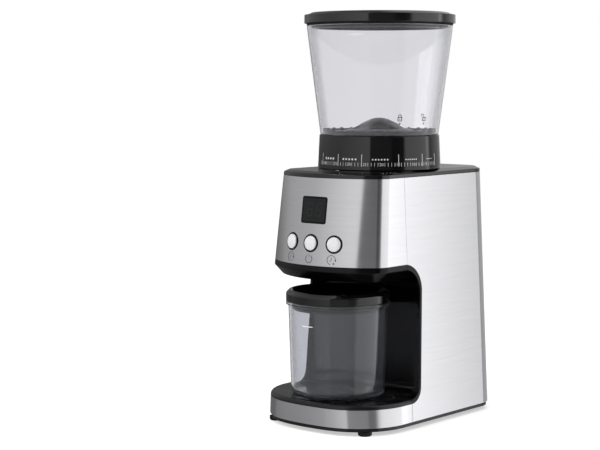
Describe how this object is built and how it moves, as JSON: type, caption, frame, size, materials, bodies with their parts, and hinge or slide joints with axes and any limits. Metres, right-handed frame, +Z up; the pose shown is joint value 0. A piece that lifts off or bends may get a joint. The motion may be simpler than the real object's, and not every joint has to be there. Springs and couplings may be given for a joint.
{
  "type": "burr coffee grinder",
  "caption": "Electric conical burr coffee grinder with a clear bean hopper on a turning grind-size ring, a leaning front panel with buttons and display, and a pull-out grounds container.",
  "frame": {"origin": "centre of the footprint at the soles of the feet", "axes": "+Z up, -Y towards the front panel, +X to the right-hand side as seen from the front"},
  "size_m": [0.1472, 0.214, 0.39],
  "materials": {
    "brushed_skin": "satin",
    "black_housing": "gloss",
    "black_moulding": "satin",
    "clear_hopper": "gloss",
    "smoke_container": "gloss",
    "button_metal": "satin",
    "display_black": "gloss",
    "rubber_black": "matte",
    "machined_steel": "polished",
    "burr_steel": "satin",
    "gear_nylon": "satin",
    "gearbox_zinc": "satin",
    "bush_bronze": "satin",
    "motor_steel": "satin",
    "copper_winding": "satin",
    "circuit_green": "satin"
  },
  "bodies": {
    "body": {"base_plate": "black_moulding", "feet": "rubber_black", "base_screws": "machined_steel", "base_band": "brushed_skin", "base_tray": "black_housing", "bay_liner": "black_moulding", "rear_wrap": "brushed_skin", "front_panel": "brushed_skin", "head_chin": "black_housing", "top_cover": "black_housing", "panel_frame": "black_moulding", "display_window": "display_black", "display_module": "black_moulding", "button_bezels": "black_housing", "control_board": "circuit_green", "tact_switches": "black_moulding", "chassis": "black_moulding", "motor_dampers": "rubber_black", "gearbox_base": "gearbox_zinc", "gearbox_cover": "gearbox_zinc", "gearbox_screws": "machined_steel", "idler_pin": "machined_steel", "motor_can": "motor_steel", "motor_stator": "motor_steel", "motor_end_bell": "black_moulding", "motor_brushes": "bush_bronze", "burr_chamber": "black_moulding", "shaft_bushes": "bush_bronze", "chute": "black_moulding", "power_board": "circuit_green", "power_parts": "black_moulding", "cord_inlet": "black_moulding"},
    "timer_minus": {"timer_minus_button": "button_metal"},
    "power": {"power_button": "button_metal"},
    "timer_plus": {"timer_plus_button": "button_metal"},
    "motor": {"motor_rotor": "copper_winding", "motor_fan": "gear_nylon", "motor_pinion": "machined_steel"},
    "idler": {"idler_gear": "gear_nylon"},
    "burr_drive": {"final_gear": "gear_nylon", "burr_shaft": "machined_steel", "burr_nut": "machined_steel", "sweeper": "gear_nylon", "cone_burr": "burr_steel"},
    "adjuster": {"adjusting_ring": "black_housing"},
    "carrier": {"burr_carrier": "black_moulding", "ring_burr": "burr_steel"},
    "lock_ring": {"cam_ring": "black_moulding"},
    "bean_hopper": {"hopper": "clear_hopper", "hopper_neck": "black_moulding", "bean_guard": "black_moulding"},
    "bean_lid": {"hopper_lid": "black_housing", "hopper_lid_seal": "rubber_black"},
    "container": {"grounds_container": "smoke_container"},
    "grounds_lid": {"container_lid": "black_housing", "container_lid_seal": "rubber_black"}
  },
  "joints": [
    {"name": "adjust_turn", "type": "hinge", "parent": "body", "child": "adjuster", "pos_m": [0, 0.006, 0.257], "axis": [0, 0, 1], "range_deg": [-101, 25]},
    {"name": "burr_height", "type": "slide", "parent": "adjuster", "child": "carrier", "axis": [0, 0, 1], "range_m": [-0.00088, 0.00024]},
    {"name": "hopper_lock_turn", "type": "hinge", "parent": "adjuster", "child": "lock_ring", "pos_m": [0, 0.006, 0.25], "axis": [0, 0, 1], "range_deg": [0, 27]},
    {"name": "hopper_lift", "type": "slide", "parent": "lock_ring", "child": "bean_hopper", "axis": [0, 0, 1], "range_m": [0, 0.06]},
    {"name": "hopper_lid_lift", "type": "slide", "parent": "bean_hopper", "child": "bean_lid", "axis": [0, 0, 1], "range_m": [0, 0.04]},
    {"name": "container_slide", "type": "slide", "parent": "body", "child": "container", "axis": [0, -1, 0], "range_m": [0, 0.15]},
    {"name": "container_lid_lift", "type": "slide", "parent": "container", "child": "grounds_lid", "axis": [0, 0, 1], "range_m": [0, 0.008]},
    {"name": "timer_minus_press", "type": "slide", "parent": "body", "child": "timer_minus", "axis": [0.2065, 0.9695, -0.1323], "range_m": [0, 0.0012], "stiffness_N_per_m": 600, "springref_m": -0.0005},
    {"name": "power_press", "type": "slide", "parent": "body", "child": "power", "axis": [0, 0.9912, -0.1323], "range_m": [0, 0.0012], "stiffness_N_per_m": 600, "springref_m": -0.0005},
    {"name": "timer_plus_press", "type": "slide", "parent": "body", "child": "timer_plus", "axis": [-0.2065, 0.9695, -0.1323], "range_m": [0, 0.0012], "stiffness_N_per_m": 600, "springref_m": -0.0005},
    {"name": "motor_spin", "type": "hinge", "parent": "body", "child": "motor", "pos_m": [0, 0.058, 0.1], "axis": [0, 0, 1], "continuous": true},
    {"name": "idler_spin", "type": "hinge", "parent": "body", "child": "idler", "pos_m": [0.02132, 0.03985, 0.16], "axis": [0, 0, 1], "continuous": true},
    {"name": "burr_spin", "type": "hinge", "parent": "body", "child": "burr_drive", "pos_m": [0, 0.006, 0.2], "axis": [0, 0, 1], "continuous": true}
  ],
  "couplings": [
    {"joint": "burr_height", "follows": "adjust_turn", "m_per_rad": 0.00047746},
    {"joint": "idler_spin", "follows": "motor_spin", "ratio": -0.27273},
    {"joint": "burr_spin", "follows": "motor_spin", "ratio": 0.057851}
  ]
}
